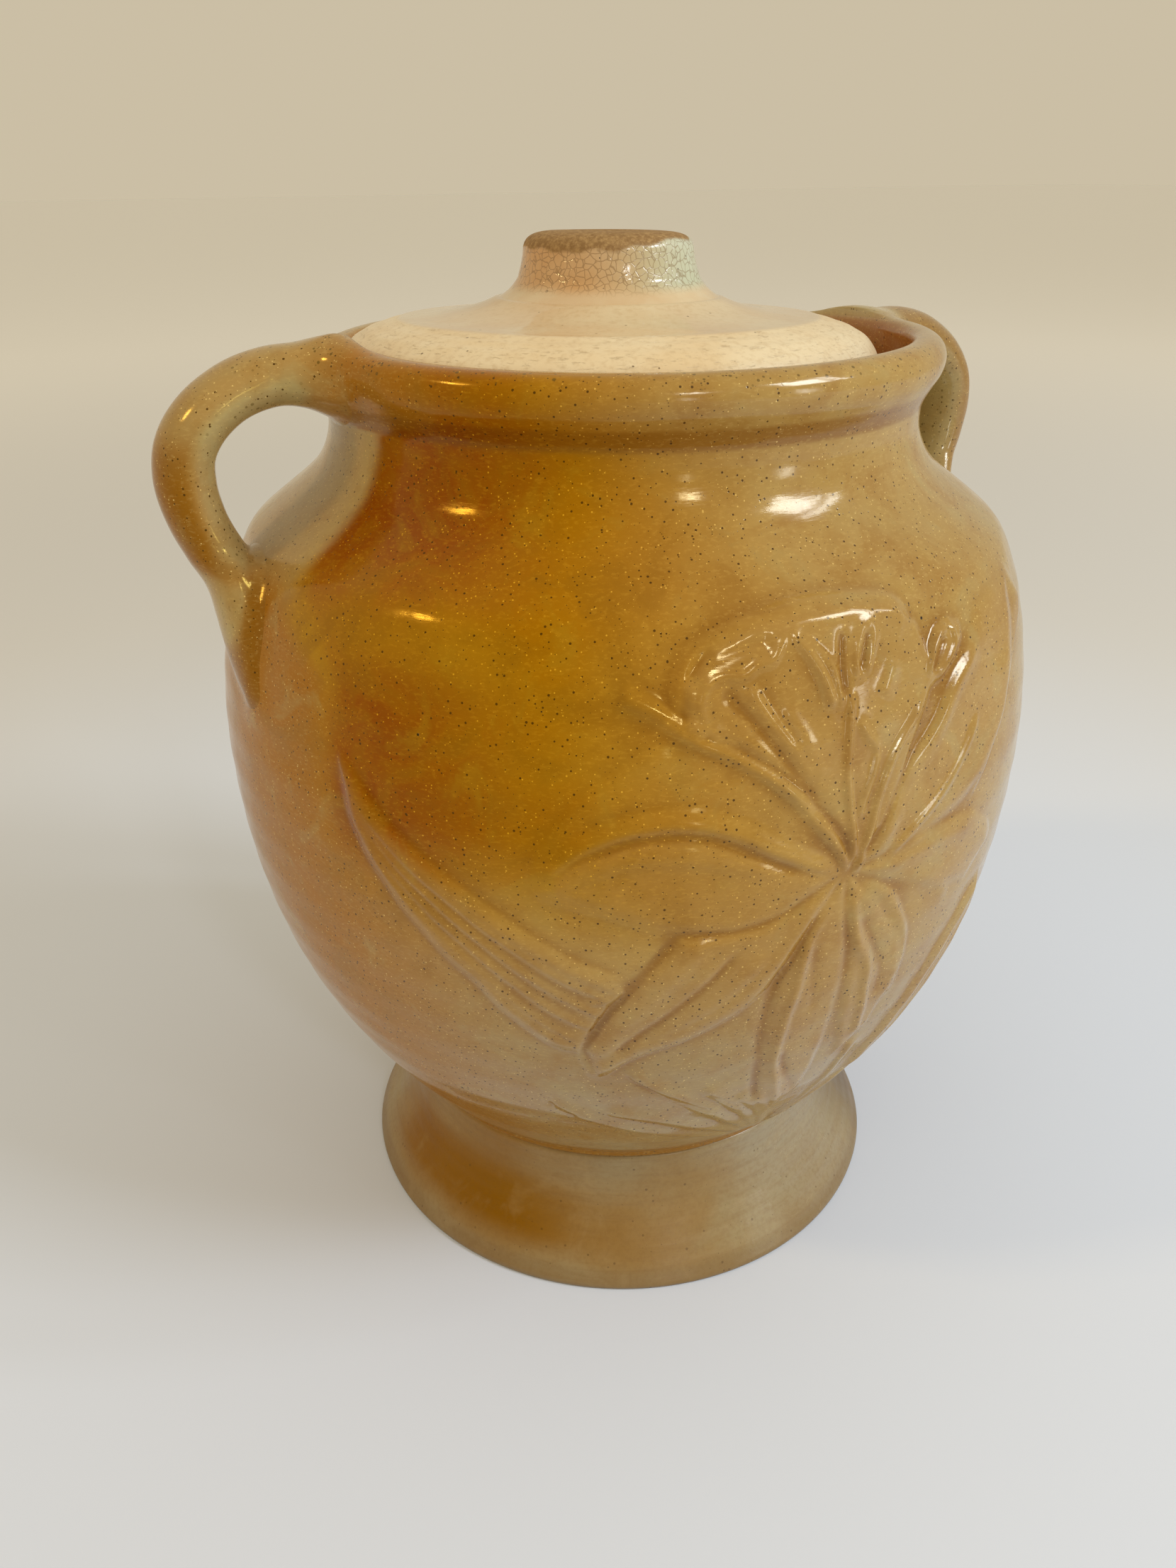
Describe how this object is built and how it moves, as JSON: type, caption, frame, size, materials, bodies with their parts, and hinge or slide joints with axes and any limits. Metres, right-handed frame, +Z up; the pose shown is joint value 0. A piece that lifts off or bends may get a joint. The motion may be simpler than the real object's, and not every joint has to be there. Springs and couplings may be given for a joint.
{
  "type": "butter crock",
  "caption": "Round-bellied stoneware butter crock on a flared foot, with loop handles at the neck, a floral relief and a knobbed lift-off lid.",
  "frame": {"origin": "centre of the foot's underside, on the surface the crock stands on", "axes": "+Z up along the jar's axis; +X through the right-hand handle; -Y towards the front with the moulded flower"},
  "size_m": [0.1871, 0.1742, 0.218],
  "materials": {
    "amber_glaze": "glossy amber to tan stoneware glaze with fine iron speckle",
    "foot_glaze": "thin satin brown glaze",
    "cream_glaze": "glossy cream glaze with pin specks",
    "knob_glaze": "crackled cream glaze, bare brown clay on the top"
  },
  "bodies": {
    "crock": {"crock_body": "amber_glaze", "pedestal_foot": "foot_glaze", "handle_left": "amber_glaze", "handle_right": "amber_glaze"},
    "lid": {"lid": "cream_glaze", "lid_knob": "knob_glaze"}
  },
  "joints": [
    {"name": "lid_lift", "type": "slide", "parent": "crock", "child": "lid", "axis": [0, 0, 1], "range_m": [0, 0.15]}
  ]
}
